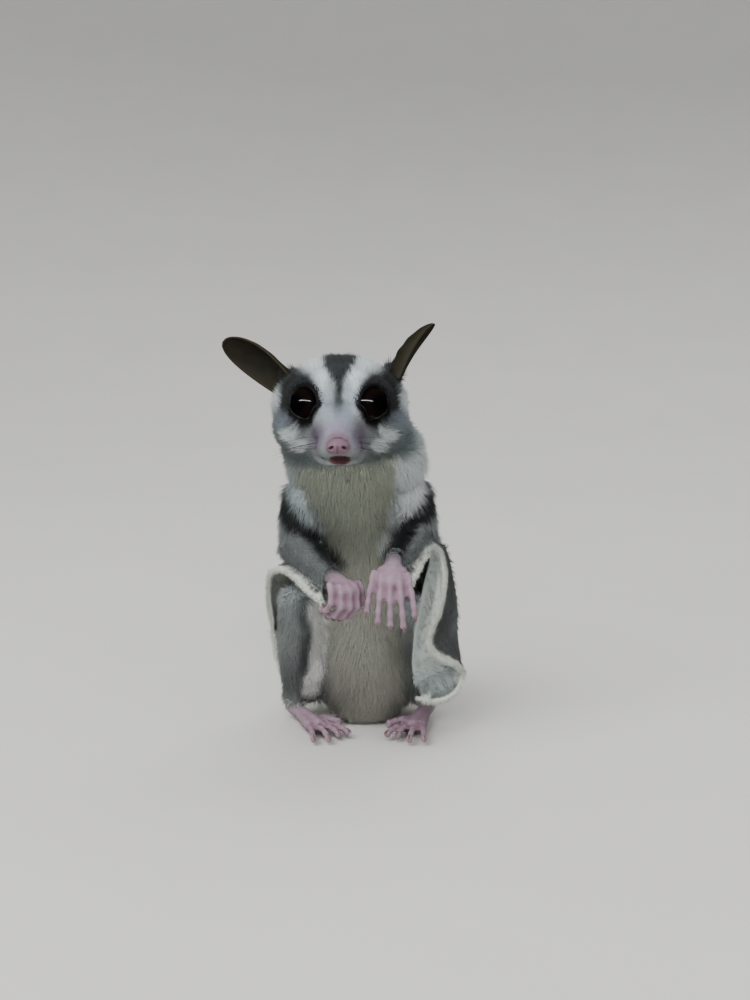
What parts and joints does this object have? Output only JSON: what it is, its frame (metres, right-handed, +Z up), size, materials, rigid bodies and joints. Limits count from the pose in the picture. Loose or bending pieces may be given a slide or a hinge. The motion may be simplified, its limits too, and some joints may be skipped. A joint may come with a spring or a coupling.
{
  "type": "sugar glider figure",
  "caption": "Life-size still model of a sugar glider that sits upright with its forefeet held together and its bushy tail laid out behind it on the floor.",
  "frame": {"origin": "middle of the flat under the rump that the animal sits on, at floor level", "axes": "+Z up, the animal faces -Y, its own right side is at -X; the tail lies towards +Y"},
  "size_m": [0.0638, 0.2253, 0.1074],
  "materials": {
    "fur_body": "short dense grey fur, dark stripes, pale face bands, belly and gliding skin fringe",
    "fur_tail": "long bushy grey fur that darkens to a black tip",
    "ear_skin": "thin bare dark skin",
    "paw_skin": "bare mauve pink skin with soft creases",
    "nose_skin": "moist bare pink skin",
    "eye": "wet glossy black",
    "claw": "smooth translucent horn",
    "whisker": "fine dark bristle"
  },
  "bodies": {
    "root": {"torso": "fur_body", "neck": "fur_body", "head": "fur_body", "ear_right": "ear_skin", "ear_left": "ear_skin", "eye_right": "eye", "eye_left": "eye", "nose": "nose_skin", "upper_arm_right": "fur_body", "forearm_right": "fur_body", "hand_right": "paw_skin", "upper_arm_left": "fur_body", "forearm_left": "fur_body", "hand_left": "paw_skin", "thigh_right": "fur_body", "shank_right": "fur_body", "foot_right": "paw_skin", "thigh_left": "fur_body", "shank_left": "fur_body", "foot_left": "paw_skin", "patagium_right": "fur_body", "patagium_left": "fur_body", "tail_root": "fur_tail", "tail_middle": "fur_tail", "tail_tip": "fur_tail"}
  },
  "joints": []
}
